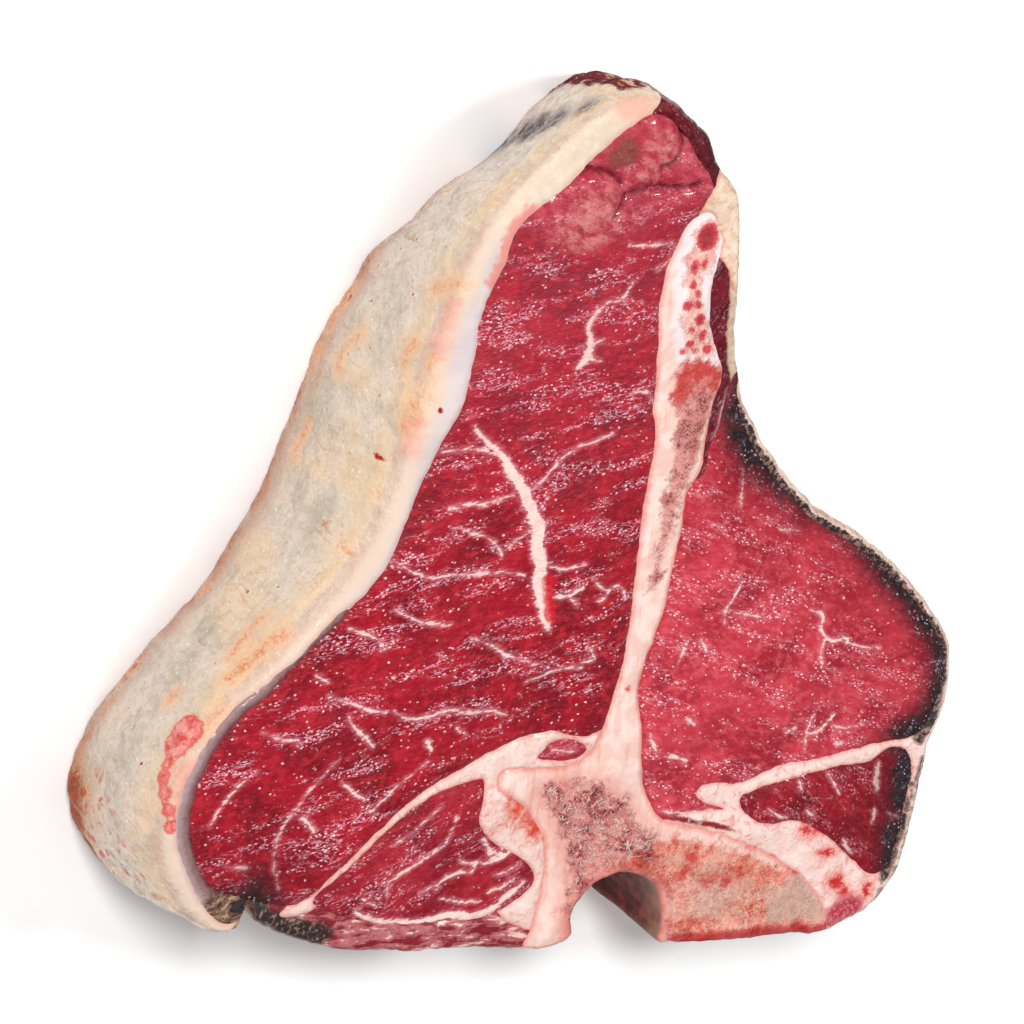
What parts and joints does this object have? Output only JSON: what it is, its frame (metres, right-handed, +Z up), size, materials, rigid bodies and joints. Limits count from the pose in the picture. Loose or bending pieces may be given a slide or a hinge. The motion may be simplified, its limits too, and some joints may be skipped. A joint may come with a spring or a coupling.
{
  "type": "raw porterhouse steak",
  "caption": "Thick raw dry-aged porterhouse steak: a T-shaped bone between the strip loin and the fillet, with a deep fat cap along one side. Lies flat on one cut face.",
  "frame": {"origin": "middle of the footprint, on the lower cut face", "axes": "+Z up through the thickness to the shown cut face, +X along the sawn face of the backbone from the fat cap to the fillet, +Y from the backbone along the rib-like process of the bone"},
  "size_m": [0.2192, 0.2063, 0.0471],
  "materials": {
    "bone": "sawn bone, satin and damp",
    "strip_meat": "wet raw muscle, dark red with fine marbling",
    "fillet_meat": "wet raw muscle, red, with a dark dried edge",
    "trim_meat": "wet raw muscle, dark red",
    "cap_fat": "firm dry-aged fat, grey-cream outside and white at the cut",
    "silverskin": "glossy grey-mauve connective tissue",
    "inner_fat": "soft pinkish-white fat"
  },
  "bodies": {
    "root": {"t_bone": "bone", "strip_loin": "strip_meat", "tenderloin": "fillet_meat", "chine_muscle": "trim_meat", "slip_muscle": "trim_meat", "psoas_minor": "trim_meat", "rib_muscle": "trim_meat", "cap_muscle": "trim_meat", "fat_cap": "cap_fat", "silverskin": "silverskin", "seam_fat": "inner_fat", "outer_fat": "inner_fat", "tip_fat": "inner_fat", "chine_trim": "inner_fat"}
  },
  "joints": []
}
